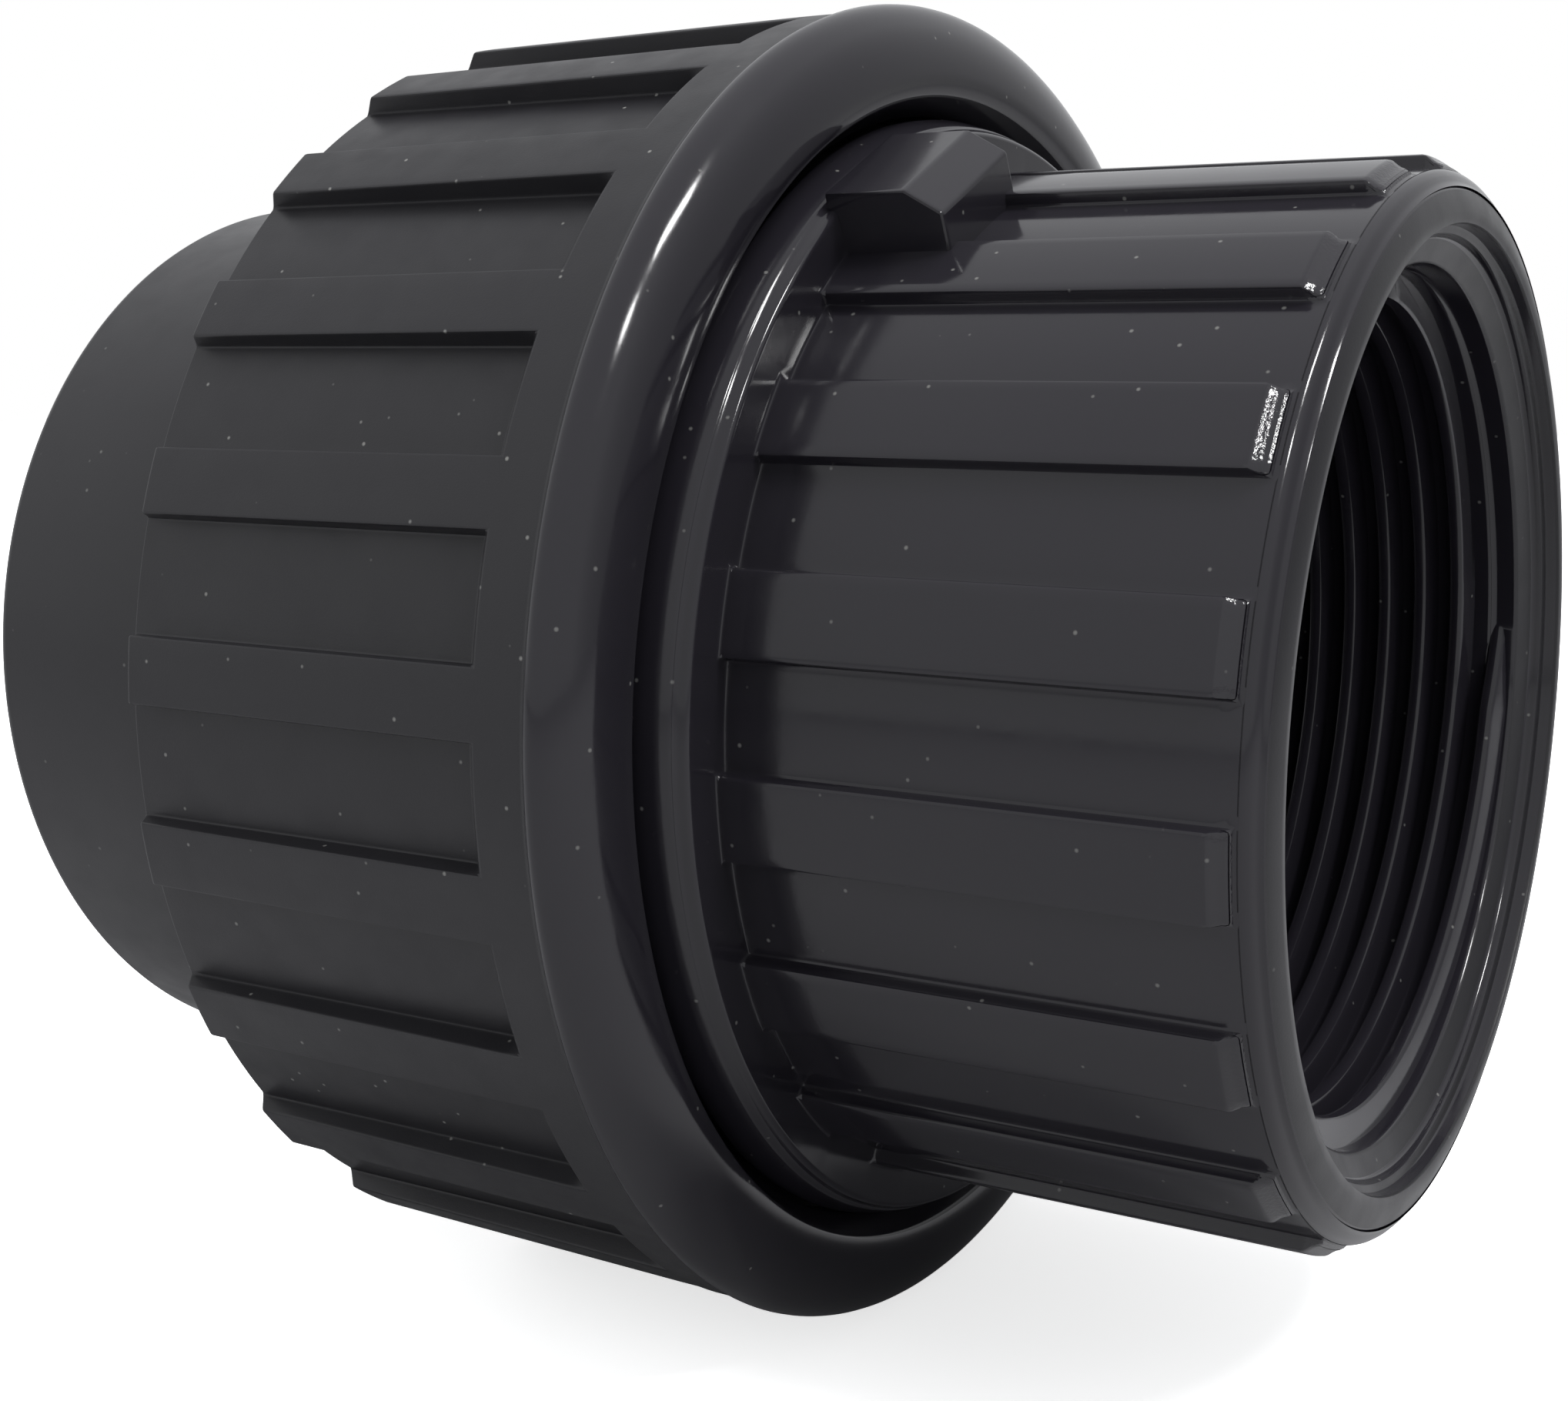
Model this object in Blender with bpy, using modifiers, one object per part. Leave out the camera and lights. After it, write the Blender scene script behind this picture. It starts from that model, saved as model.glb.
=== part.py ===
"""Pipe union: a plain socket end and a threaded end, held face to face by a ribbed union nut."""

from math import cos, pi, radians, sin

import bmesh
import bpy
from mathutils import Matrix, Vector

# Metres. Every outline is (radius, height) about the union's axis, with height 0 on the
# sealing plane and positive towards the threaded end. The parent empty lays the axis along +X.
SEGMENTS = 48
CLEARANCE = 0.0003

# The two ends
WATERWAY_RADIUS = 0.0215
SEAL_GAP = CLEARANCE
MOUTH_HEIGHT = 0.04725
TAIL_LENGTH = 0.0338

# Socket end, for 50 mm pipe
SOCKET_RADIUS = 0.0251
SOCKET_DEPTH = 0.031
BARREL_RADIUS = 0.0293
COLLAR_RADIUS = 0.0312
COLLAR_HEIGHT = 0.0074
END_ROUNDING = 0.0008
COLLAR_CHAMFER = 0.0004
SOCKET_CHAMFER = 0.0008
SOCKET_DRAFT = 0.0001

# Threaded end, 1 1/2 inch pipe thread: 11 threads to the inch
PIPE_PITCH = 0.0254 / 11
PIPE_MAJOR_RADIUS = 0.0239
PIPE_MINOR_RADIUS = 0.02245
PIPE_TURNS = 8.25
PIPE_THREAD_TOP = 0.0439
PIPE_THREAD_START = 97.5
PIPE_ROOT_HALF_WIDTH = 0.00095
PIPE_CREST_HALF_WIDTH = 0.00028
THREAD_FLOOR = 0.0234
WATERWAY_CHAMFER = 0.0006
# The mouth steps down to the thread: (radius, depth below the end face)
MOUTH_STEPS = ((0.0261, 0.0009), (0.0256, 0.0010), (0.0255, 0.0016), (0.0244, 0.0022), (0.0241, 0.0034))
MOUTH_RADIUS = 0.0262
MOUTH_RIM_RADIUS = 0.0269
MOUTH_CROWN = ((0.0275, 0.00025), (0.0283, 0.0006))
MOUTH_CROWN_DEPTH = 0.0011
BODY_RADIUS = 0.0289
BODY_RIB_RADIUS = 0.02975
BODY_RIB_COUNT = 18
BODY_RIB_WIDTH = 0.0046
BODY_RIB_ANGLE = 16.5
BODY_RIB_SINK = 0.0006
BODY_RIB_END = 0.0447
BODY_RIB_FOOT = 0.0462
BODY_CHAMFER = 0.0004
DISC_RADIUS = 0.0328
DISC_FRONT_RADIUS = 0.0322
DISC_EDGE = 0.0004
DISC_TOP = 0.0192
DISC_SHOULDER = 0.0170
DISC_BOTTOM = 0.0156
DISC_FLARE = 0.0007
LUG_RADIUS = 0.0328
LUG_TOP = 0.0253
LUG_WIDTH = 0.0081
LUG_ANGLE = 26.4
LUG_SLOPE = 0.0020
LUG_END_RADIUS = 0.0315

# O-ring in the face of the threaded end
RING_RADIUS = 0.0263
RING_SECTION = 0.0014
GROOVE_HALF_WIDTH = 0.0019
GROOVE_DEPTH = 0.0032

# Union nut and its coarse thread
NUT_RADIUS = 0.03895
NUT_VALLEY_RADIUS = 0.0376
NUT_BOTTOM = -0.0127
NUT_BAND_HEIGHT = 0.01507
NUT_DOME_RADIUS = 0.03925
NUT_DOME_TOP = 0.01762
NUT_DOME_INNER_RADIUS = 0.0349
NUT_MOUTH_RADIUS = 0.0334
NUT_BORE_RADIUS = 0.0330
NUT_LIP_RADIUS = 0.0296
NUT_RIB_COUNT = 24
NUT_RIB_ANGLE = 10.5
NUT_VALLEY_WIDTH = 0.0064
NUT_VALLEY_TOP = 0.0106
NUT_VALLEY_RAMP = 0.0016
NUT_VALLEY_DRAFT = 0.0003
NUT_DRAFT = 0.0003
NUT_CHAMFER = 0.0008
NUT_FACE_CHAMFER = 0.001
NUT_LIP_CHAMFER = 0.0005
NUT_MOUTH_DEPTH = 0.0012
NUT_MOUTH_LEAD = 0.0007
NUT_DOME_STEP = 0.0001
CUT_OVER = 0.001
NUT_BORE_DEPTH = 0.0017
COARSE_PITCH = 0.0042
COARSE_ROOT_RADIUS = 0.0314
COARSE_CREST_RADIUS = 0.0327
COARSE_FIRST_HEIGHT = 0.0024
COARSE_ROOT_HALF_WIDTH = 0.00142
COARSE_CREST_HALF_WIDTH = 0.00078
COARSE_TURNS = 2.5
COARSE_CHAMFER = 0.0006
NUT_RIDGE_ROOT_HALF_WIDTH = 0.0013
NUT_RIDGE_CREST_HALF_WIDTH = 0.00062
NUT_RIDGE_TURNS = 3.375
RIDGE_SINK = 0.0004

DARK_GREY = (0.043, 0.043, 0.047, 1)


def clear_scene():
    for obj in list(bpy.data.objects):
        bpy.data.objects.remove(obj, do_unlink=True)


def new_collection(name):
    collection = bpy.data.collections.new(name)
    bpy.context.scene.collection.children.link(collection)
    return collection


def plastic(name, colour, roughness):
    material = bpy.data.materials.new(name)
    material.use_nodes = True
    shader = material.node_tree.nodes["Principled BSDF"]
    shader.inputs["Base Color"].default_value = colour
    shader.inputs["Roughness"].default_value = roughness
    shader.inputs["Metallic"].default_value = 0.0
    return material


def add_object(name, mesh, collection, parent):
    obj = bpy.data.objects.new(name, mesh)
    collection.objects.link(obj)
    obj.parent = parent
    return obj


def mesh_of(bm, name):
    bmesh.ops.recalc_face_normals(bm, faces=bm.faces)
    mesh = bpy.data.meshes.new(name)
    bm.to_mesh(mesh)
    bm.free()
    return mesh


def arc(centre, radii, first, last, steps):
    """Points of an elliptical arc in the outline's plane, angles in degrees from the radial direction."""
    turns = [radians(first + (last - first) * step / steps) for step in range(steps + 1)]
    return [(centre[0] + radii[0] * cos(turn), centre[1] + radii[1] * sin(turn)) for turn in turns]


def turned(name, outline, collection, parent):
    """A ring turned from a closed outline that runs down its outer side and up its bore."""
    count = len(outline)
    mesh = bpy.data.meshes.new(name)
    points = [(radius, 0, height) for radius, height in outline]
    mesh.from_pydata(points, [(i, (i + 1) % count) for i in range(count)], [])
    obj = add_object(name, mesh, collection, parent)
    screw = obj.modifiers.new("Turn", "SCREW")
    screw.axis = "Z"
    screw.steps = SEGMENTS
    screw.render_steps = SEGMENTS
    screw.use_merge_vertices = True
    screw.merge_threshold = 0.00001
    screw.use_smooth_shade = True
    return obj


def bars(name, outline, widths, count, first_angle, collection, parent):
    """Equal bars round the axis. Each is the outline, widths[0] wide at its lowest radius and widths[1] at its top."""
    bm = bmesh.new()
    lowest = min(radius for radius, _ in outline)
    highest = max(radius for radius, _ in outline)
    face = bm.faces.new([bm.verts.new((radius, -0.5, height)) for radius, height in outline])
    grown = bmesh.ops.extrude_face_region(bm, geom=[face])["geom"]
    moved = [item for item in grown if isinstance(item, bmesh.types.BMVert)]
    bmesh.ops.translate(bm, verts=moved, vec=(0, 1, 0))
    for vert in bm.verts:
        share = (vert.co.x - lowest) / (highest - lowest)
        vert.co.y *= widths[0] + share * (widths[1] - widths[0])
    first_bar = list(bm.verts) + list(bm.edges) + list(bm.faces)
    for step in range(1, count):
        copy = bmesh.ops.duplicate(bm, geom=first_bar)["geom"]
        turn = Matrix.Rotation(2 * pi * step / count, 3, "Z")
        bmesh.ops.rotate(bm, verts=[v for v in copy if isinstance(v, bmesh.types.BMVert)], matrix=turn)
    bmesh.ops.rotate(bm, verts=bm.verts, matrix=Matrix.Rotation(local_angle(first_angle), 3, "Z"))
    return add_object(name, mesh_of(bm, name), collection, parent)


def local_angle(degrees_from_top):
    """An angle about the axis, from straight up on the lying union, as seen by the parts' own frame."""
    return radians(degrees_from_top) + pi


def thread_ridge(name, section, first_height, first_angle, pitch, turns, collection, parent):
    """A right-hand helical ridge: its (radius, height) section wound up the axis."""
    bm = bmesh.new()
    start = Matrix.Rotation(first_angle, 3, "Z")
    corners = [start @ Vector((radius, 0, first_height + height)) for radius, height in section]
    face = bm.faces.new([bm.verts.new(corner) for corner in corners])
    steps = round(turns * SEGMENTS)
    bmesh.ops.spin(
        bm,
        geom=[face, *face.edges, *face.verts],
        cent=(0, 0, 0),
        axis=(0, 0, 1),
        dvec=(0, 0, pitch / SEGMENTS),
        angle=2 * pi * steps / SEGMENTS,
        steps=steps,
        use_duplicate=False,
    )
    return add_object(name, mesh_of(bm, name), collection, parent)


def ridge_section(root_radius, crest_radius, root_half_width, crest_half_width):
    """A ridge's section, sunk into the wall that it stands on so that the two join."""
    sunk = RIDGE_SINK if root_radius > crest_radius else -RIDGE_SINK
    return [
        (root_radius + sunk, -root_half_width),
        (root_radius + sunk, root_half_width),
        (crest_radius, crest_half_width),
        (crest_radius, -crest_half_width),
    ]


def combine(obj, operation, other):
    """Joins or cuts obj with a helper, which is then left out of the model."""
    boolean = obj.modifiers.new(other.name, "BOOLEAN")
    boolean.operation = operation
    boolean.solver = "EXACT"
    boolean.object = other
    other.hide_render = True
    other.display_type = "WIRE"


def socket_end(parts, parent):
    face = -SEAL_GAP / 2
    tail = -TAIL_LENGTH
    shoulder = tail + SOCKET_DEPTH
    outline = [
        (WATERWAY_RADIUS, face),
        (COLLAR_RADIUS - COLLAR_CHAMFER, face),
        (COLLAR_RADIUS, face - COLLAR_CHAMFER),
        (COLLAR_RADIUS, -COLLAR_HEIGHT + COLLAR_CHAMFER),
        (COLLAR_RADIUS - COLLAR_CHAMFER, -COLLAR_HEIGHT),
        (BARREL_RADIUS, -COLLAR_HEIGHT),
        *arc((BARREL_RADIUS - END_ROUNDING, tail + END_ROUNDING), (END_ROUNDING, END_ROUNDING), 0, -90, 3),
        (SOCKET_RADIUS + SOCKET_CHAMFER + SOCKET_DRAFT, tail),
        (SOCKET_RADIUS + SOCKET_DRAFT, tail + SOCKET_CHAMFER),
        (SOCKET_RADIUS - SOCKET_DRAFT, shoulder),
        (WATERWAY_RADIUS, shoulder),
    ]
    obj = turned("socket_end", outline, parts, parent)
    obj.data.materials.append(plastic("socket_end_grey", DARK_GREY, 0.42))
    return obj


def threaded_end(parts, helpers, parent):
    face = SEAL_GAP / 2
    groove_floor = face + GROOVE_DEPTH
    outline = [
        (MOUTH_RADIUS, MOUTH_HEIGHT),
        (MOUTH_RIM_RADIUS, MOUTH_HEIGHT),
        *((radius, MOUTH_HEIGHT - depth) for radius, depth in MOUTH_CROWN),
        (BODY_RADIUS, MOUTH_HEIGHT - MOUTH_CROWN_DEPTH),
        (BODY_RADIUS, DISC_TOP),
        (DISC_FRONT_RADIUS - DISC_EDGE, DISC_TOP),
        (DISC_FRONT_RADIUS, DISC_TOP - DISC_EDGE),
        (DISC_RADIUS, DISC_SHOULDER),
        (DISC_RADIUS, DISC_BOTTOM),
        (COARSE_ROOT_RADIUS, DISC_BOTTOM - DISC_FLARE),
        (COARSE_ROOT_RADIUS, face + COARSE_CHAMFER),
        (COARSE_ROOT_RADIUS - COARSE_CHAMFER, face),
        (RING_RADIUS + GROOVE_HALF_WIDTH, face),
        (RING_RADIUS + GROOVE_HALF_WIDTH, groove_floor),
        (RING_RADIUS - GROOVE_HALF_WIDTH, groove_floor),
        (RING_RADIUS - GROOVE_HALF_WIDTH, face),
        (WATERWAY_RADIUS, face),
        (WATERWAY_RADIUS, THREAD_FLOOR - WATERWAY_CHAMFER),
        (PIPE_MAJOR_RADIUS, THREAD_FLOOR),
        (PIPE_MAJOR_RADIUS, MOUTH_HEIGHT - MOUTH_STEPS[-1][1] - BODY_CHAMFER),
        *((radius, MOUTH_HEIGHT - depth) for radius, depth in reversed(MOUTH_STEPS)),
    ]
    obj = turned("threaded_end", outline, parts, parent)
    obj.data.materials.append(plastic("threaded_end_grey", DARK_GREY, 0.22))

    rib_start = DISC_TOP - BODY_RIB_SINK
    rib_floor = BODY_RADIUS - BODY_RIB_SINK
    rib = [
        (rib_floor, rib_start),
        (BODY_RIB_RADIUS, rib_start),
        (BODY_RIB_RADIUS, BODY_RIB_END),
        (rib_floor, BODY_RIB_FOOT),
    ]
    widths = (BODY_RIB_WIDTH + BODY_CHAMFER, BODY_RIB_WIDTH)
    ribs = bars("body_ribs", rib, widths, BODY_RIB_COUNT, BODY_RIB_ANGLE, helpers, parent)
    combine(obj, "UNION", ribs)

    lug = [
        (rib_floor, rib_start),
        (LUG_RADIUS, rib_start),
        (LUG_RADIUS, LUG_TOP - LUG_SLOPE),
        (LUG_END_RADIUS, LUG_TOP),
        (rib_floor, LUG_TOP),
    ]
    combine(obj, "UNION", bars("body_lug", lug, (LUG_WIDTH, LUG_WIDTH), 1, LUG_ANGLE, helpers, parent))

    coarse = thread_ridge(
        "coarse_ridge",
        ridge_section(COARSE_ROOT_RADIUS, COARSE_CREST_RADIUS, COARSE_ROOT_HALF_WIDTH, COARSE_CREST_HALF_WIDTH),
        COARSE_FIRST_HEIGHT,
        0,
        COARSE_PITCH,
        COARSE_TURNS,
        helpers,
        parent,
    )
    combine(obj, "UNION", coarse)

    pipe = thread_ridge(
        "pipe_ridge",
        ridge_section(PIPE_MAJOR_RADIUS, PIPE_MINOR_RADIUS, PIPE_ROOT_HALF_WIDTH, PIPE_CREST_HALF_WIDTH),
        PIPE_THREAD_TOP - PIPE_TURNS * PIPE_PITCH,
        radians(PIPE_THREAD_START - PIPE_TURNS * 360),
        PIPE_PITCH,
        PIPE_TURNS,
        helpers,
        parent,
    )
    combine(obj, "UNION", pipe)
    return obj


def o_ring(parts, parent):
    centre = SEAL_GAP / 2 + GROOVE_DEPTH - RING_SECTION - CLEARANCE
    bpy.ops.mesh.primitive_torus_add(
        major_segments=SEGMENTS,
        minor_segments=10,
        major_radius=RING_RADIUS,
        minor_radius=RING_SECTION,
        location=(0, 0, 0),
    )
    obj = bpy.context.object
    obj.name = "o_ring"
    for collection in list(obj.users_collection):
        collection.objects.unlink(obj)
    parts.objects.link(obj)
    obj.parent = parent
    obj.location = (0, 0, centre)
    obj.data.shade_smooth()
    obj.data.materials.append(plastic("seal_rubber", (0.012, 0.012, 0.012, 1), 0.7))
    return obj


def union_nut(parts, helpers, parent):
    lip_top = -COLLAR_HEIGHT - CLEARANCE
    crest_bottom = NUT_BOTTOM + NUT_CHAMFER
    dome_radii = (NUT_DOME_RADIUS - NUT_DOME_INNER_RADIUS, NUT_DOME_TOP - NUT_BAND_HEIGHT)
    outline = [
        (NUT_MOUTH_RADIUS, NUT_DOME_TOP - NUT_MOUTH_DEPTH),
        (NUT_DOME_INNER_RADIUS - NUT_MOUTH_LEAD, NUT_DOME_TOP - NUT_DOME_STEP),
        *arc((NUT_DOME_INNER_RADIUS, NUT_BAND_HEIGHT), dome_radii, 90, 0, 8),
        (NUT_RADIUS + NUT_DOME_STEP, NUT_BAND_HEIGHT - NUT_DOME_STEP),
        (NUT_RADIUS, NUT_VALLEY_TOP),
        (NUT_RADIUS - NUT_DRAFT, crest_bottom),
        (NUT_RADIUS - NUT_FACE_CHAMFER, NUT_BOTTOM),
        (NUT_LIP_RADIUS + NUT_LIP_CHAMFER, NUT_BOTTOM),
        (NUT_LIP_RADIUS, NUT_BOTTOM + NUT_LIP_CHAMFER),
        (NUT_LIP_RADIUS, lip_top),
        (NUT_BORE_RADIUS, lip_top),
        (NUT_BORE_RADIUS, NUT_DOME_TOP - NUT_BORE_DEPTH),
    ]
    obj = turned("union_nut", outline, parts, parent)
    obj.data.materials.append(plastic("union_nut_grey", DARK_GREY, 0.36))

    valley = [
        (NUT_VALLEY_RADIUS, NUT_BOTTOM - CUT_OVER),
        (NUT_VALLEY_RADIUS, NUT_VALLEY_TOP),
        (NUT_RADIUS + CUT_OVER, NUT_VALLEY_TOP + NUT_VALLEY_RAMP),
        (NUT_RADIUS + CUT_OVER, NUT_BOTTOM - CUT_OVER),
    ]
    widths = (NUT_VALLEY_WIDTH - NUT_VALLEY_DRAFT, NUT_VALLEY_WIDTH + NUT_VALLEY_DRAFT)
    first_angle = NUT_RIB_ANGLE + 180 / NUT_RIB_COUNT
    valleys = bars("nut_valleys", valley, widths, NUT_RIB_COUNT, first_angle, helpers, parent)
    combine(obj, "DIFFERENCE", valleys)

    quarter_back = COARSE_FIRST_HEIGHT - COARSE_PITCH / 2 - COARSE_PITCH / 4
    thread = thread_ridge(
        "nut_ridge",
        ridge_section(
            NUT_BORE_RADIUS, COARSE_ROOT_RADIUS + CLEARANCE, NUT_RIDGE_ROOT_HALF_WIDTH, NUT_RIDGE_CREST_HALF_WIDTH
        ),
        quarter_back,
        -pi / 2,
        COARSE_PITCH,
        NUT_RIDGE_TURNS,
        helpers,
        parent,
    )
    combine(obj, "UNION", thread)
    return obj


def build():
    clear_scene()
    parts = new_collection("pipe_union")
    helpers = new_collection("cutters_and_ridges")
    helpers.hide_render = True
    axis = bpy.data.objects.new("union_axis", None)
    parts.objects.link(axis)
    axis.rotation_euler = (0, pi / 2, 0)
    socket_end(parts, axis)
    threaded_end(parts, helpers, axis)
    o_ring(parts, axis)
    union_nut(parts, helpers, axis)


build()
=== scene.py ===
from math import atan2, cos, degrees, hypot, pi, radians, sin

import bmesh
import bpy
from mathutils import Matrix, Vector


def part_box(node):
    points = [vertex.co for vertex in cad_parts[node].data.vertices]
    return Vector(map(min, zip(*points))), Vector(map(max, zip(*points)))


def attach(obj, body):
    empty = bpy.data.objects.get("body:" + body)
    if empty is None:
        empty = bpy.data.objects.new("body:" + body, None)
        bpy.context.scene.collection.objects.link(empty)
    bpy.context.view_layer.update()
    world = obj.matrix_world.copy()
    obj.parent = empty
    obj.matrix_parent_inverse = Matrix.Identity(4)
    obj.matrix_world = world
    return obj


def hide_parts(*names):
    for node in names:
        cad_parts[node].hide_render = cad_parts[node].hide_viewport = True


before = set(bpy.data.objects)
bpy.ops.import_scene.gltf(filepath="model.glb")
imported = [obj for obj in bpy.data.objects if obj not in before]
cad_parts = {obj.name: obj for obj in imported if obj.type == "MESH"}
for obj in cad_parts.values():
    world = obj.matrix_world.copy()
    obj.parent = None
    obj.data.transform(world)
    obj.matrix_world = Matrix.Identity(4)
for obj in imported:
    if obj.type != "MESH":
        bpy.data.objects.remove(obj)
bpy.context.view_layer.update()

margin = 0.0001  # how far a test of a place reaches beyond the measure it is about
weldDistance = 0.000002
bevelSegments = 2
bevelAngle = 24
smoothAngle = 32

# The union lies along X with its sealing plane at x = 0. Angles about the axis run from straight
# up towards -Y, the side that faces the camera. Lengths are metres and angles degrees.


def startEdit(piece):
    bpy.ops.object.select_all(action="DESELECT")  # the loaded nodes are selected too
    piece.select_set(True)
    bpy.context.view_layer.objects.active = piece
    bpy.ops.object.mode_set(mode="EDIT")


def endEdit():
    bpy.ops.object.mode_set(mode="OBJECT")


def aboutAxis(place):
    return place.x, hypot(place.y, place.z), degrees(atan2(-place.y, place.z))


def choose(piece, kind, test):
    # selects, in edit mode, what passes the test of its place: x, radius, angle
    bpy.ops.mesh.select_mode(type=kind)
    bpy.ops.mesh.select_all(action="DESELECT")
    shape = bmesh.from_edit_mesh(piece.data)
    if kind == "VERT":
        for vert in shape.verts:
            vert.select_set(test(*aboutAxis(vert.co)))
    else:
        for face in shape.faces:
            if test(*aboutAxis(face.calc_center_median())):
                face.select_set(True)
    shape.select_flush_mode()
    bmesh.update_edit_mesh(piece.data)


def keepChosen(piece, test):
    # thins an existing selection of vertices, such as what an extrude has just made
    bpy.ops.mesh.select_mode(type="VERT")
    shape = bmesh.from_edit_mesh(piece.data)
    for vert in shape.verts:
        if vert.select and not test(*aboutAxis(vert.co)):
            vert.select_set(False)
    shape.select_flush_mode()
    bmesh.update_edit_mesh(piece.data)


def scaleAbout(factor, x=0):
    bpy.ops.transform.resize(value=(1, factor, factor), center_override=(x, 0, 0))


def tidyMesh(piece):
    bpy.ops.mesh.select_all(action="SELECT")
    bpy.ops.mesh.remove_doubles(threshold=weldDistance)
    bpy.ops.mesh.select_all(action="SELECT")
    bpy.ops.mesh.delete_loose()
    bpy.ops.mesh.select_all(action="SELECT")
    bpy.ops.mesh.normals_make_consistent(inside=False)


def applyPlace(piece):
    bpy.ops.object.select_all(action="DESELECT")
    piece.select_set(True)
    bpy.context.view_layer.objects.active = piece
    bpy.ops.object.transform_apply(location=True, rotation=True, scale=True)


def arc(centreX, centreRadius, sizeX, sizeRadius, first, last, steps):
    # an elliptical arc of an outline, angles from the radial direction towards +X
    turns = [radians(first + (last - first) * step / steps) for step in range(steps + 1)]
    return [(centreX + sizeX * sin(turn), centreRadius + sizeRadius * cos(turn)) for turn in turns]


def turnOutline(name, outline, sides, firstAngle=0):
    # a circle round the axis, extruded from point to point of the outline until it closes
    x, radius = outline[0]
    bpy.ops.object.select_all(action="DESELECT")
    bpy.ops.mesh.primitive_circle_add(
        vertices=sides, radius=radius, location=(x, 0, 0), rotation=(0, pi / 2, 0))
    piece = bpy.context.object
    piece.name = name
    piece.data.name = name
    applyPlace(piece)
    piece.rotation_euler.x = radians(firstAngle)
    applyPlace(piece)
    startEdit(piece)
    bpy.ops.mesh.select_mode(type="EDGE")
    bpy.ops.mesh.select_all(action="SELECT")
    for nextX, nextRadius in outline[1:] + outline[:1]:
        bpy.ops.mesh.extrude_edges_move(TRANSFORM_OT_translate={"value": (nextX - x, 0, 0)})
        scaleAbout(nextRadius / radius, nextX)
        x, radius = nextX, nextRadius
    tidyMesh(piece)
    endEdit()
    return piece


def roundEdges(piece, width, segments, angle, slot=-1):
    applyPlace(piece)
    bevel = piece.modifiers.new("Rounded edges", "BEVEL")
    bevel.width = width
    bevel.segments = segments
    bevel.limit_method = "ANGLE"
    bevel.angle_limit = radians(angle)
    bevel.use_clamp_overlap = False
    bevel.material = slot
    bpy.ops.object.modifier_apply(modifier=bevel.name)


def unite(piece, other):
    applyPlace(piece)
    join = piece.modifiers.new("Join " + other.name, "BOOLEAN")
    join.operation = "UNION"
    join.solver = "EXACT"
    join.object = other
    bpy.ops.object.modifier_apply(modifier=join.name)
    bpy.data.objects.remove(other)


def smooth(piece, angle):
    applyPlace(piece)
    bpy.ops.object.shade_smooth_by_angle(angle=radians(angle))
    weighted = piece.modifiers.new("Flat large faces", "WEIGHTED_NORMAL")
    weighted.keep_sharp = True
    bpy.ops.object.modifier_apply(modifier=weighted.name)


def runOutRidge(piece, ridge):
    # the last stretch sinks step by step into the wall that the thread stands on; the test also
    # takes in the crest's outer flank from a half to three quarters of a turn before the end
    steps = 6
    turnReach = 0.57  # of the pitch, just short of the section one turn back
    lastX = ridge["startX"] + ridge["pitch"] * ridge["turns"]
    lastAngle = ridge["startAngle"] + 360 * ridge["turns"]
    turnX = lastX - turnReach * ridge["pitch"]
    sink = (ridge["footRadius"] - ridge["topRadius"]) / ridge["topRadius"] / steps
    for step in range(steps):
        reach = ridge["runOutAngle"] * (1 - step / steps)
        choose(piece, "VERT", lambda x, radius, angle: (
            x > turnX and (angle - lastAngle + 181) % 360 - 181 > -reach))
        scaleAbout(1 + sink)


def windRidge(name, ridge):
    # the section is drawn at the low end of the thread, wound up the axis and closed at both ends
    depth = ridge["topRadius"] - ridge["footRadius"]
    middle = (ridge["topRadius"] + ridge["footRadius"]) / 2
    bpy.ops.object.select_all(action="DESELECT")
    bpy.ops.mesh.primitive_plane_add(size=1, location=(ridge["startX"], 0, middle), rotation=(pi / 2, 0, 0))
    piece = bpy.context.object
    piece.name = name
    piece.scale = (2 * ridge["footHalfWidth"], abs(depth), 1)
    applyPlace(piece)
    startEdit(piece)
    choose(piece, "VERT", lambda x, radius, angle: abs(radius - ridge["topRadius"]) < abs(depth) / 4)
    narrowing = ridge["topHalfWidth"] / ridge["footHalfWidth"]
    bpy.ops.transform.resize(value=(narrowing, 1, 1), center_override=(ridge["startX"], 0, 0))
    bpy.ops.mesh.bevel(offset=ridge["rounding"], segments=bevelSegments, affect="VERTICES")
    bpy.ops.mesh.select_all(action="SELECT")
    bpy.ops.mesh.delete(type="ONLY_FACE")
    endEdit()
    piece.rotation_euler.x = radians(ridge["startAngle"])
    applyPlace(piece)
    screw = piece.modifiers.new("Helix", "SCREW")
    screw.axis = "X"
    screw.angle = 2 * pi * ridge["turns"]
    screw.screw_offset = ridge["pitch"] * ridge["turns"]
    screw.steps = round(ridge["turns"] * ridge["stepsPerTurn"])
    screw.render_steps = screw.steps
    bpy.ops.object.modifier_apply(modifier=screw.name)
    startEdit(piece)
    runOutRidge(piece, ridge)
    bpy.ops.mesh.select_mode(type="EDGE")
    bpy.ops.mesh.select_all(action="SELECT")
    bpy.ops.mesh.fill_holes(sides=0)
    tidyMesh(piece)
    endEdit()
    return piece


# Union nut: ribbed grip, plain band, glossy rolled rim, coarse thread inside

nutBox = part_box("union_nut")

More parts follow.
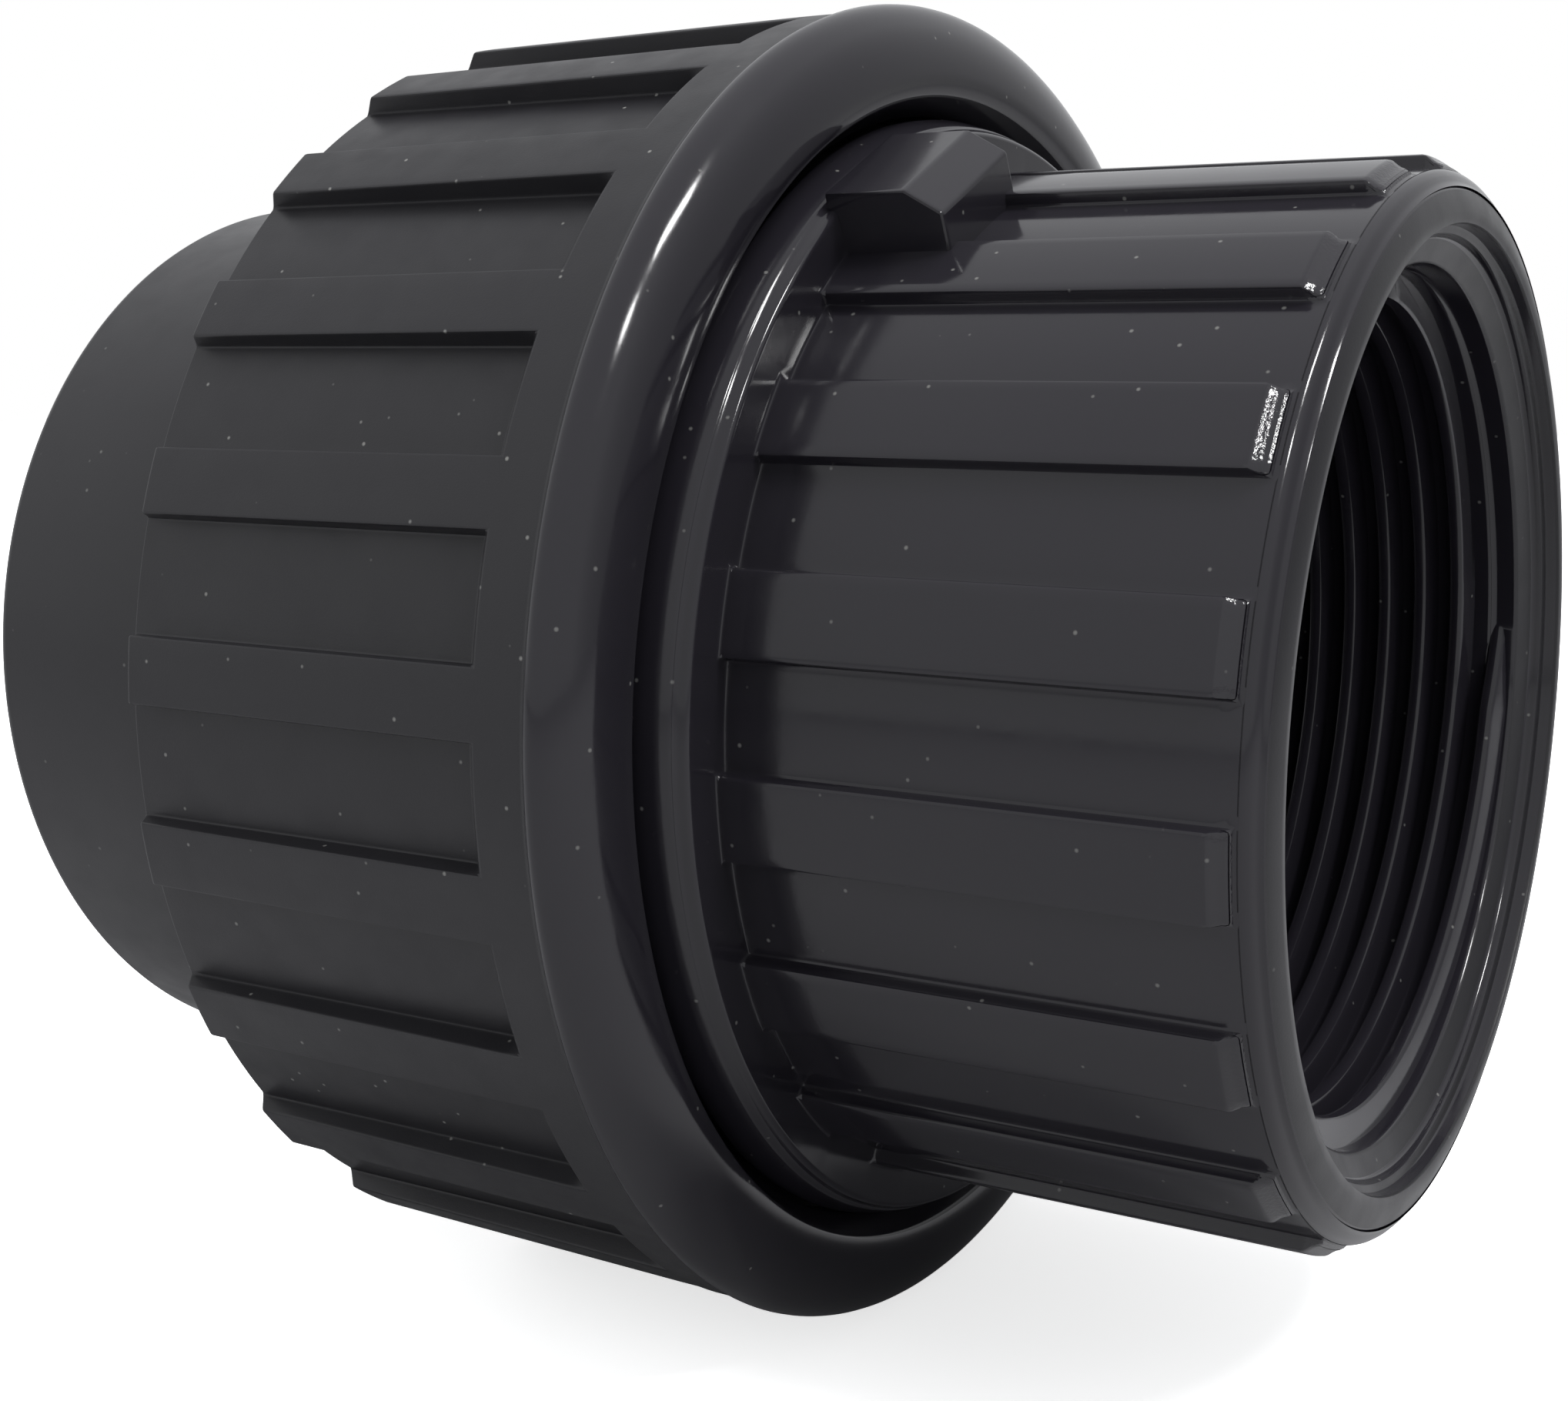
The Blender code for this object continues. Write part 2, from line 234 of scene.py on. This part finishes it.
unionNut = {
    "sides": 264,
    "ribs": 24,
    "ribCentre": 10.5,
    "ribWidth": 5.5,
    "leftX": nutBox[0][0],
    "rightX": nutBox[1][0],
    "rimRadius": nutBox[1][2],
    "valleyRadius": 0.0376,
    "crestRadius": 0.03895,
    "leftCrestRadius": 0.03865,
    "ribEndSlope": 0.0007,
    "rampEndX": 0.0115,
    "rampLength": 0.0011,
    "rimX": 0.01507,
    "rimTopRadius": 0.0349,
    "mouthRadius": 0.0334,
    "boreRadius": 0.0330,
    "lipRadius": 0.0296,
    "lipX": -0.0077,
    "lipLead": 0.0005,
    "mouthDepth": 0.0013,
    "boreDepth": 0.0018,
    "rimStep": 0.0003,
    "rimFootDrop": 0.0001,
    "rimFootWidth": 0.00025,
    "innerRimDepth": 0.0002,
    "innerRimDrop": 0.0008,
    "edgeRounding": 0.00016,
    "thread": {
        "footRadius": 0.0334,
        "topRadius": 0.0317,
        "footHalfWidth": 0.0013,
        "topHalfWidth": 0.00062,
        "rounding": 0.00012,
        "startX": -0.00075,
        "startAngle": 90,
        "pitch": 0.0042,
        "turns": 3.375,
        "runOutAngle": 20,
        "stepsPerTurn": 96,
    },
}


def makeUnionNut(size):
    rimDepth = size["rightX"] - size["rimX"]
    rimHeight = size["rimRadius"] - size["rimTopRadius"]
    rimFoot = size["rimX"] - size["rimStep"]
    outline = [
        (size["rightX"] - size["mouthDepth"], size["mouthRadius"]),
        (size["rightX"] - size["innerRimDepth"], size["rimTopRadius"] - size["innerRimDrop"]),
        *arc(size["rimX"], size["rimTopRadius"], rimDepth, rimHeight, 90, 0, 14),
        (rimFoot, size["rimRadius"] - size["rimFootDrop"]),
        (rimFoot - size["rimFootWidth"], size["crestRadius"]),
        (size["rampEndX"], size["crestRadius"]),
        (size["rampEndX"] - size["rampLength"], size["valleyRadius"]),
        (size["leftX"], size["valleyRadius"]),
        (size["leftX"], size["lipRadius"] + size["lipLead"]),
        (size["leftX"] + size["lipLead"], size["lipRadius"]),
        (size["lipX"], size["lipRadius"]),
        (size["lipX"], size["boreRadius"]),
        (size["rightX"] - size["boreDepth"], size["boreRadius"]),
    ]
    piece = turnOutline("unionNut", outline, size["sides"], size["ribCentre"])
    pitch = 360 / size["ribs"]

    def onRib(x, radius, angle):
        fromCentre = abs((angle - size["ribCentre"] + pitch / 2) % pitch - pitch / 2)
        outside = radius > size["valleyRadius"] - 3 * margin
        along = size["leftX"] + margin < x < size["rampEndX"] - margin
        return outside and along and fromCentre < size["ribWidth"] / 2

    startEdit(piece)
    choose(piece, "FACE", onRib)
    bpy.ops.mesh.extrude_region_move(TRANSFORM_OT_translate={"value": (0, 0, 0)})
    keepChosen(piece, lambda x, radius, angle: x < size["rampEndX"] - 3 * margin)
    scaleAbout(size["crestRadius"] / size["valleyRadius"])
    keepChosen(piece, lambda x, radius, angle: x < size["leftX"] + 3 * margin)
    scaleAbout(size["leftCrestRadius"] / size["crestRadius"])
    bpy.ops.transform.translate(value=(size["ribEndSlope"], 0, 0))
    tidyMesh(piece)
    endEdit()
    roundEdges(piece, size["edgeRounding"], bevelSegments, bevelAngle)
    unite(piece, windRidge("nutThread", size["thread"]))
    smooth(piece, smoothAngle)
    print("union nut:", len(piece.data.polygons), "faces")
    return piece


# Threaded end: ribbed body with a spanner lug, shoulder disc, pipe thread inside, coarse thread outside

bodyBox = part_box("threaded_end")
pipePitch = 0.0254 / 11

threadedEnd = {
    "sides": 288,
    "ribs": 18,
    "ribCentre": 16.5,
    "ribWidth": 8.75,
    "mouthX": bodyBox[1][0],
    "faceX": bodyBox[0][0],
    "bodyRadius": 0.0289,
    "ribRadius": 0.02975,
    "ribEndX": 0.0448,
    "ribEndSteps": [(0.0453, 0.0293), (0.0457, 0.0292)],  # x and radius down the ribs' sloping ends
    "ribFootX": 0.0460,
    "mouthRadius": 0.0261,
    # depth below the end face and radius of the points of its crown and of the stepped mouth
    "crown": [
        (0, 0.0268), (0.0002, 0.0274), (0.00045, 0.02805), (0.00058, 0.0281),
        (0.00075, 0.0285), (0.0011, 0.0289)],
    "mouthSteps": [(0.0009, 0.0261), (0.0010, 0.0256), (0.00155, 0.0256), (0.0022, 0.0241), (0.0036, 0.0241)],
    "satinDepth": 0.00035,
    "satinSteps": [(0.00085, 0.00105), (0.0016, 0.0022)],
    "majorDepth": 0.0038,
    "majorRadius": 0.0239,
    "waterwayRadius": 0.0215,
    "threadFloorX": 0.0234,
    "waterwayChamfer": 0.0006,
    "discRadius": 0.0328,
    "discFrontRadius": 0.0322,
    "discShoulderX": 0.0170,
    "discFrontX": 0.0192,
    "discBackX": 0.0159,
    "discBackSlope": 0.0010,
    "rimRounding": 0.00035,
    "shoulderRounding": 0.00045,
    "shoulderDepth": 0.0011,
    "shoulderDrop": 0.0002,
    "coarseRootRadius": 0.0314,
    "coarseChamfer": 0.0006,
    "grooveRadius": 0.0263,
    "grooveHalfWidth": 0.0019,
    "grooveDepth": 0.0032,
    "edgeRounding": 0.00022,
    "lug": {
        "centre": 26.4,
        "width": 0.0081,
        "topRadius": 0.0328,
        "foot": 0.0281,
        "endX": 0.0253,
        "slope": 0.0020,
        "drop": 0.0013,
        "inDisc": 0.0006,
        "edgeRounding": 0.0002,
        "bevelAngle": 20,
    },
    "pipeThread": {
        "footRadius": 0.0243,
        "topRadius": 0.02245,
        "footHalfWidth": 0.00095,
        "topHalfWidth": 0.00042,
        "rounding": 0.0003,
        "startX": 0.0439 - 8.25 * pipePitch,
        "startAngle": 187.5,
        "pitch": pipePitch,
        "turns": 8.25,
        "runOutAngle": 14,
        "stepsPerTurn": 144,
    },
    "coarseThread": {
        "footRadius": 0.0310,
        "topRadius": 0.0327,
        "footHalfWidth": 0.00142,
        "topHalfWidth": 0.00078,
        "rounding": 0.00012,
        "startX": 0.0024,
        "startAngle": 180,
        "pitch": 0.0042,
        "turns": 2.5,
        "runOutAngle": 20,
        "stepsPerTurn": 96,
    },
}


def makeLug(size, discX):
    middle = (size["topRadius"] + size["foot"]) / 2
    startX = discX - size["inDisc"]
    bpy.ops.object.select_all(action="DESELECT")
    bpy.ops.mesh.primitive_cube_add(size=1, location=((startX + size["endX"]) / 2, 0, middle))
    lug = bpy.context.object
    lug.name = "spannerLug"
    lug.scale = (size["endX"] - startX, size["width"], size["topRadius"] - size["foot"])
    applyPlace(lug)
    startEdit(lug)
    bpy.ops.mesh.select_all(action="SELECT")
    bpy.ops.mesh.bisect(plane_co=(size["endX"] - size["slope"], 0, 0), plane_no=(1, 0, 0))
    choose(lug, "VERT", lambda x, radius, angle: (
        x > size["endX"] - margin and radius > size["topRadius"] - 10 * margin))
    bpy.ops.transform.translate(value=(0, 0, -size["drop"]))
    tidyMesh(lug)
    endEdit()
    lug.rotation_euler.x = radians(size["centre"])
    roundEdges(lug, size["edgeRounding"], bevelSegments, size["bevelAngle"])
    return lug


def makeThreadedEnd(size):
    face = size["faceX"]
    groove = size["grooveRadius"]
    mouth = size["mouthX"]
    front = size["discFrontX"]
    back = size["discBackX"]
    frontRadius = size["discFrontRadius"]
    rim = size["rimRounding"]
    edge = size["shoulderRounding"]
    outline = [
        (mouth, size["mouthRadius"]),
        *((mouth - depth, radius) for depth, radius in size["crown"]),
        (size["ribFootX"], size["bodyRadius"]),
        *((x, size["bodyRadius"]) for x, radius in reversed(size["ribEndSteps"])),
        (size["ribEndX"], size["bodyRadius"]),
        (front, size["bodyRadius"]),
        (front, size["ribRadius"]),
        *arc(front - rim, frontRadius - edge, rim, rim, 90, 18, 4),
        *arc(front - size["shoulderDepth"], frontRadius - size["shoulderDrop"], edge, edge, 72, 18, 4),
        (size["discShoulderX"], size["discRadius"]),
        (back, size["discRadius"]),
        (back - size["discBackSlope"], size["coarseRootRadius"]),
        (face + size["coarseChamfer"], size["coarseRootRadius"]),
        (face, size["coarseRootRadius"] - size["coarseChamfer"]),
        (face, groove + size["grooveHalfWidth"]),
        (face + size["grooveDepth"], groove + size["grooveHalfWidth"]),
        (face + size["grooveDepth"], groove - size["grooveHalfWidth"]),
        (face, groove - size["grooveHalfWidth"]),
        (face, size["waterwayRadius"]),
        (size["threadFloorX"] - size["waterwayChamfer"], size["waterwayRadius"]),
        (size["threadFloorX"], size["majorRadius"]),
        (mouth - size["majorDepth"], size["majorRadius"]),
        *((mouth - depth, radius) for depth, radius in reversed(size["mouthSteps"])),
    ]
    pitch = 360 / size["ribs"]
    halfSide = 180 / size["sides"]
    piece = turnOutline("threadedEnd", outline, size["sides"], size["ribCentre"] + halfSide)

    def inRib(angle):
        return abs((angle - size["ribCentre"] + pitch / 2) % pitch - pitch / 2) < size["ribWidth"] / 2

    def onBody(x, radius, angle):
        outside = size["bodyRadius"] - 2 * margin < radius < size["ribRadius"] - 2 * margin
        along = size["discFrontX"] + 2 * margin < x < size["ribFootX"] - 2 * margin
        return outside and along and inRib(angle)

    def atDisc(x, radius, angle):
        between = size["bodyRadius"] + margin < radius < size["ribRadius"] - margin
        return between and abs(x - size["discFrontX"]) < margin / 2 and inRib(angle)

    startEdit(piece)
    choose(piece, "FACE", atDisc)
    bpy.ops.mesh.delete(type="ONLY_FACE")
    choose(piece, "FACE", onBody)
    bpy.ops.mesh.extrude_region_move(TRANSFORM_OT_translate={"value": (0, 0, 0)})
    keepChosen(piece, lambda x, radius, angle: x < size["ribFootX"] - 3 * margin)
    scaleAbout(size["ribRadius"] / size["bodyRadius"])
    for stepX, stepRadius in size["ribEndSteps"]:
        choose(piece, "VERT", lambda x, radius, angle: (
            abs(x - stepX) < margin / 2 and radius > size["bodyRadius"] + 3 * margin))
        scaleAbout(stepRadius / size["ribRadius"])
    choose(piece, "FACE", atDisc)
    bpy.ops.mesh.delete(type="ONLY_FACE")
    tidyMesh(piece)
    endEdit()
    roundEdges(piece, size["edgeRounding"], bevelSegments, bevelAngle)
    unite(piece, makeLug(size["lug"], size["discFrontX"]))
    unite(piece, windRidge("coarseThread", size["coarseThread"]))
    unite(piece, windRidge("pipeThread", size["pipeThread"]))
    smooth(piece, smoothAngle)
    print("threaded end:", len(piece.data.polygons), "faces")
    return piece


# Socket end: plain barrel with a glued pipe socket, held in the nut by its collar

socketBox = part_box("socket_end")

socketEnd = {
    "sides": 240,
    "tailX": socketBox[0][0],
    "faceX": socketBox[1][0],
    "collarRadius": socketBox[1][2],
    "collarX": -0.0074,
    "barrelRadius": 0.0293,
    "endRounding": 0.0008,
    "collarRounding": 0.0004,
    "socketRadius": 0.0251,
    "socketDepth": 0.031,
    "socketTaper": 0.0001,
    "chamfer": 0.0003,
    "leadIn": [(0, 0.0010), (0.0002, 0.0007), (0.0010, 0.0001)],  # depth, and how much wider than the socket
    "waterwayRadius": 0.0215,
}


def makeSocketEnd(size):
    rounding = size["endRounding"]
    edge = size["collarRounding"]
    chamfer = size["chamfer"]
    face = size["faceX"]
    tail = size["tailX"]
    shoulder = tail + size["socketDepth"]
    outline = [
        (face, size["waterwayRadius"] + edge),
        (face, size["collarRadius"] - edge),
        *arc(face - edge, size["collarRadius"] - edge, edge, edge, 60, 0, 2),
        *arc(size["collarX"] + edge, size["collarRadius"] - edge, edge, edge, 0, -90, 3),
        (size["collarX"], size["barrelRadius"] + chamfer),
        (size["collarX"] - chamfer, size["barrelRadius"]),
        *arc(tail + rounding, size["barrelRadius"] - rounding, rounding, rounding, 0, -90, 7),
        *((tail + depth, size["socketRadius"] + wider) for depth, wider in size["leadIn"]),
        (shoulder - chamfer, size["socketRadius"] - size["socketTaper"]),
        (shoulder, size["socketRadius"] - size["socketTaper"] - chamfer),
        (shoulder, size["waterwayRadius"] + chamfer),
        (shoulder + chamfer, size["waterwayRadius"]),
        (face - edge, size["waterwayRadius"]),
    ]
    piece = turnOutline("socketEnd", outline, size["sides"])
    smooth(piece, smoothAngle)
    print("socket end:", len(piece.data.polygons), "faces")
    return piece


# O-ring in the face of the threaded end

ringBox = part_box("o_ring")

sealRing = {
    "centreX": (ringBox[0][0] + ringBox[1][0]) / 2,
    "outerRadius": ringBox[1][2],
    "section": (ringBox[1][0] - ringBox[0][0]) / 2,
    "flash": 1.04,
    "sectionSides": 24,
    "steps": 160,
    "smoothAngle": 40,
}


def makeSealRing(size):
    middle = size["outerRadius"] - size["section"]
    bpy.ops.object.select_all(action="DESELECT")
    bpy.ops.mesh.primitive_circle_add(
        vertices=size["sectionSides"], radius=size["section"],
        location=(size["centreX"], 0, middle), rotation=(pi / 2, 0, 0))
    ring = bpy.context.object
    ring.name = "sealRing"
    applyPlace(ring)
    startEdit(ring)
    choose(ring, "VERT", lambda x, radius, angle: abs(x - size["centreX"]) < margin and radius < middle)
    flash = size["section"] * (size["flash"] - 1)  # the mould's parting line stands out on the inner side
    bpy.ops.transform.translate(value=(0, 0, -flash))
    bpy.ops.mesh.select_all(action="SELECT")
    bpy.ops.mesh.spin(steps=size["steps"], angle=2 * pi, center=(0, 0, 0), axis=(1, 0, 0))
    tidyMesh(ring)
    endEdit()
    smooth(ring, size["smoothAngle"])
    print("seal ring:", len(ring.data.polygons), "faces")
    return ring


# Finishes

pvcGrey = {"base": (0.0068, 0.0064, 0.0084), "pale": (0.0090, 0.0088, 0.0104)}
glossGrey = {"base": (0.0108, 0.0098, 0.0132), "pale": (0.0128, 0.0120, 0.0152)}
rubberBlack = {"base": (0.006, 0.006, 0.006), "pale": (0.012, 0.012, 0.012)}
dustColour = (0.18, 0.18, 0.17)

pattern = {
    "cloudScale": 110,
    "smearScale": 420,
    "smearLimits": (0.3, 0.7),
    "speckScale": 520,
    "speckLimits": (0.03, 0.07),
    "grainDepth": 0.00006,
}

satinPlastic = {"roughness": (0.36, 0.46), "grain": 0.10, "grainScale": 9000, "specks": 0.8, "specular": 0.5}
glossPlastic = {"roughness": (0.09, 0.15), "grain": 0.025, "grainScale": 2600, "specks": 0.6, "specular": 0.5}
barrelPlastic = {"roughness": (0.30, 0.38), "grain": 0.06, "grainScale": 7000, "specks": 0.4, "specular": 0.5}
glintPlastic = {"roughness": (0.08, 0.14), "grain": 0.3, "grainScale": 6000, "specks": 0.5, "specular": 0.6}
sealFinish = {"roughness": (0.5, 0.65), "grain": 0.2, "grainScale": 6000, "specks": 0.3, "specular": 0.4}


def addNode(tree, kind, x, y, **values):
    # values go to the node's own settings, or else to its inputs of that name
    node = tree.nodes.new(kind)
    node.location = (x, y)
    for key, value in values.items():
        if hasattr(node, key):
            setattr(node, key, value)
        else:
            node.inputs[key.title()].default_value = value
    return node


def addRange(tree, x, y, given, wanted):
    node = addNode(tree, "ShaderNodeMapRange", x, y)
    node.inputs["From Min"].default_value, node.inputs["From Max"].default_value = given
    node.inputs["To Min"].default_value, node.inputs["To Max"].default_value = wanted
    return node


def makePlastic(name, colours, finish):
    material = bpy.data.materials.new(name)
    material.use_nodes = True
    tree = material.node_tree
    shader = tree.nodes["Principled BSDF"]
    shader.inputs["Specular IOR Level"].default_value = finish["specular"]
    place = addNode(tree, "ShaderNodeTexCoord", -1200, 0)
    cloud = addNode(tree, "ShaderNodeTexNoise", -900, 250, scale=pattern["cloudScale"], detail=4)
    fine = addNode(tree, "ShaderNodeTexNoise", -900, -250, scale=finish["grainScale"], detail=2)
    smear = addNode(tree, "ShaderNodeTexNoise", -900, 0, scale=pattern["smearScale"], detail=6)
    dust = addNode(tree, "ShaderNodeTexVoronoi", -900, 550, scale=pattern["speckScale"])
    for texture in (cloud, fine, smear, dust):
        tree.links.new(place.outputs["Object"], texture.inputs["Vector"])
    tone = addNode(tree, "ShaderNodeMix", -500, 300, data_type="RGBA")  # colours are its sockets 6 and 7
    tone.inputs[6].default_value = (*colours["base"], 1)
    tone.inputs[7].default_value = (*colours["pale"], 1)
    tree.links.new(cloud.outputs["Fac"], tone.inputs[0])
    speck = addRange(tree, -650, 550, pattern["speckLimits"], (finish["specks"], 0))
    tree.links.new(dust.outputs["Distance"], speck.inputs["Value"])
    dusty = addNode(tree, "ShaderNodeMix", -250, 350, data_type="RGBA")
    dusty.inputs[7].default_value = (*dustColour, 1)
    tree.links.new(speck.outputs["Result"], dusty.inputs[0])
    tree.links.new(tone.outputs[2], dusty.inputs[6])
    tree.links.new(dusty.outputs[2], shader.inputs["Base Color"])
    sheen = addRange(tree, -500, 0, pattern["smearLimits"], finish["roughness"])
    tree.links.new(smear.outputs["Fac"], sheen.inputs["Value"])
    tree.links.new(sheen.outputs["Result"], shader.inputs["Roughness"])
    bump = addNode(tree, "ShaderNodeBump", -250, -250)
    bump.inputs["Strength"].default_value = finish["grain"]
    bump.inputs["Distance"].default_value = pattern["grainDepth"]
    tree.links.new(fine.outputs["Fac"], bump.inputs["Height"])
    tree.links.new(bump.outputs["Normal"], shader.inputs["Normal"])
    return material


def paint(piece, materials, pick):
    # pick gives the number of the material of a face from its x, radius and angle
    piece.data.materials.clear()
    for material in materials:
        piece.data.materials.append(material)
    for face in piece.data.polygons:
        face.material_index = pick(*aboutAxis(face.center))


satin = makePlastic("nutSatin", pvcGrey, satinPlastic)
gloss = makePlastic("bodyGloss", glossGrey, glossPlastic)
barrel = makePlastic("barrelSatin", pvcGrey, barrelPlastic)
glint = makePlastic("ribEndTexture", glossGrey, glintPlastic)
rubber = makePlastic("sealRubber", rubberBlack, sealFinish)

nut = makeUnionNut(unionNut)
body = makeThreadedEnd(threadedEnd)
socket = makeSocketEnd(socketEnd)
ring = makeSealRing(sealRing)

paint(nut, [satin, gloss], lambda x, radius, angle: int(x > unionNut["rimX"] - unionNut["rimStep"]))


def bodyFinish(x, radius, angle):
    # the ribs' sloping ends are textured, the end face and the mouth's steps satin, the rest glossy
    onRibEnd = threadedEnd["ribEndX"] - margin < x < threadedEnd["ribFootX"]
    depth = threadedEnd["mouthX"] - x
    onStep = any(low < depth < high for low, high in threadedEnd["satinSteps"])
    if onRibEnd and radius > threadedEnd["bodyRadius"] + margin:
        return 1
    if depth < threadedEnd["satinDepth"] or onStep and radius < threadedEnd["mouthRadius"]:
        return 2
    return 0


paint(body, [gloss, glint, barrel], bodyFinish)
paint(socket, [barrel], lambda x, radius, angle: 0)
paint(ring, [rubber], lambda x, radius, angle: 0)

for piece, node, carrier, slot in (
    (nut, "union_nut", "nut", "union_nut"),
    (body, "threaded_end", "threaded_end", "threaded_end"),
    (socket, "socket_end", "socket_end", "socket_end"),
    (ring, "o_ring", "threaded_end", "seal_rubber"),
):
    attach(piece, carrier)
    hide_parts(node)

# Studio: pale floor, soft light, camera

studio = {
    "floorSize": 3.0,
    "floorColour": (0.9, 0.9, 0.9),
    "mirroredFloor": (0.36, 0.36, 0.37),
    "floorRoughness": 0.9,
    "floorGlow": 0.7,
    "camera": (0.07847, -0.11861, 0.01950),
    "cameraTurn": (79.94, 0, 30.31),
    "lens": 50.51,
    "sensorWidth": 36,
    "nearestSeen": 0.005,
    "shift": (-0.0374, 0.0268),
    "surroundColour": (0.97, 0.98, 1),
    "surroundFade": (0.6, 1.0),
    "surroundStrength": (0.76, 0.3),
    "towardsDimSide": (0.8, 0.6, -0.1),
    # name, azimuth, elevation, distance, width, height, power, mirrored in the gloss
    "lamps": (
        ("windowLight", -3, 52, 0.6, 0.13, 0.05, 1.1, True),
        ("windowLightLow", -24, 44, 0.6, 0.06, 0.045, 0.5, True),
        ("overheadLight", 25, 76, 1.2, 0.8, 0.8, 15, False),
        ("leftFill", -140, 30, 0.9, 0.7, 0.5, 2.5, False),
    ),
}


def splitByRay(tree, forLight, forCamera, output):
    # one look for the camera, a dimmer one for the light that falls on the object
    ray = addNode(tree, "ShaderNodeLightPath", -200, 300)
    mix = addNode(tree, "ShaderNodeMixShader", 200, 0)
    tree.links.new(ray.outputs["Is Camera Ray"], mix.inputs[0])
    tree.links.new(forLight.outputs[0], mix.inputs[1])
    tree.links.new(forCamera.outputs[0], mix.inputs[2])
    tree.links.new(mix.outputs[0], output.inputs["Surface"])


def makeFloor(size, lowest):
    bpy.ops.object.select_all(action="DESELECT")
    bpy.ops.mesh.primitive_plane_add(size=size["floorSize"], location=(0, 0, lowest))
    floor = bpy.context.object
    floor.name = "studioFloor"
    applyPlace(floor)
    paleFloor = bpy.data.materials.new("paleFloor")
    paleFloor.use_nodes = True
    tree = paleFloor.node_tree
    seen = tree.nodes["Principled BSDF"]
    seen.inputs["Base Color"].default_value = (*size["floorColour"], 1)
    seen.inputs["Roughness"].default_value = size["floorRoughness"]
    seen.inputs["Emission Color"].default_value = (1, 1, 1, 1)
    seen.inputs["Emission Strength"].default_value = size["floorGlow"]
    mirrored = addNode(tree, "ShaderNodeBsdfDiffuse", 0, -300)
    mirrored.inputs["Color"].default_value = (*size["mirroredFloor"], 1)
    splitByRay(tree, mirrored, seen, tree.nodes["Material Output"])
    floor.data.materials.append(paleFloor)


def makeCamera(size):
    eye = bpy.data.cameras.new("studioCamera")
    camera = bpy.data.objects.new("studioCamera", eye)
    bpy.context.scene.collection.objects.link(camera)
    camera.location = size["camera"]
    camera.rotation_euler = [radians(turn) for turn in size["cameraTurn"]]
    eye.sensor_width = size["sensorWidth"]
    eye.lens = size["lens"]
    eye.shift_x, eye.shift_y = size["shift"]
    eye.clip_start = size["nearestSeen"]
    bpy.context.scene.camera = camera


def makeLamp(name, azimuth, elevation, distance, width, height, power, inGloss):
    lamp = bpy.data.lights.new(name, "AREA")
    lamp.shape = "RECTANGLE"
    lamp.size = width
    lamp.size_y = height
    lamp.energy = power
    light = bpy.data.objects.new(name, lamp)
    bpy.context.scene.collection.objects.link(light)
    flat = distance * cos(radians(elevation))
    light.location = (
        flat * cos(radians(azimuth)), flat * sin(radians(azimuth)), distance * sin(radians(elevation)))
    light.rotation_euler = light.location.to_track_quat("Z", "Y").to_euler()
    light.visible_glossy = inGloss


def makeSurround(size):
    # white to the camera, and dimmer on one side for the light and the gloss
    world = bpy.data.worlds.new("whiteStudio")
    world.use_nodes = True
    bpy.context.scene.world = world
    tree = world.node_tree
    surround = tree.nodes["Background"]
    surround.inputs["Color"].default_value = (*size["surroundColour"], 1)
    heading = addNode(tree, "ShaderNodeTexCoord", -800, 0)
    towards = addNode(tree, "ShaderNodeVectorMath", -600, 0, operation="DOT_PRODUCT")
    towards.inputs[1].default_value = size["towardsDimSide"]
    fade = addRange(tree, -400, 0, size["surroundFade"], size["surroundStrength"])
    tree.links.new(heading.outputs["Generated"], towards.inputs[0])
    tree.links.new(towards.outputs["Value"], fade.inputs["Value"])
    tree.links.new(fade.outputs["Result"], surround.inputs["Strength"])
    white = addNode(tree, "ShaderNodeBackground", 0, -200)
    white.inputs["Color"].default_value = (1, 1, 1, 1)
    splitByRay(tree, surround, white, tree.nodes["World Output"])


makeFloor(studio, nutBox[0][2])
makeCamera(studio)
for lamp in studio["lamps"]:
    makeLamp(*lamp)
makeSurround(studio)
bpy.context.scene.view_settings.view_transform = "Standard"
print("studio: floor, camera and", len(studio["lamps"]), "lamps")
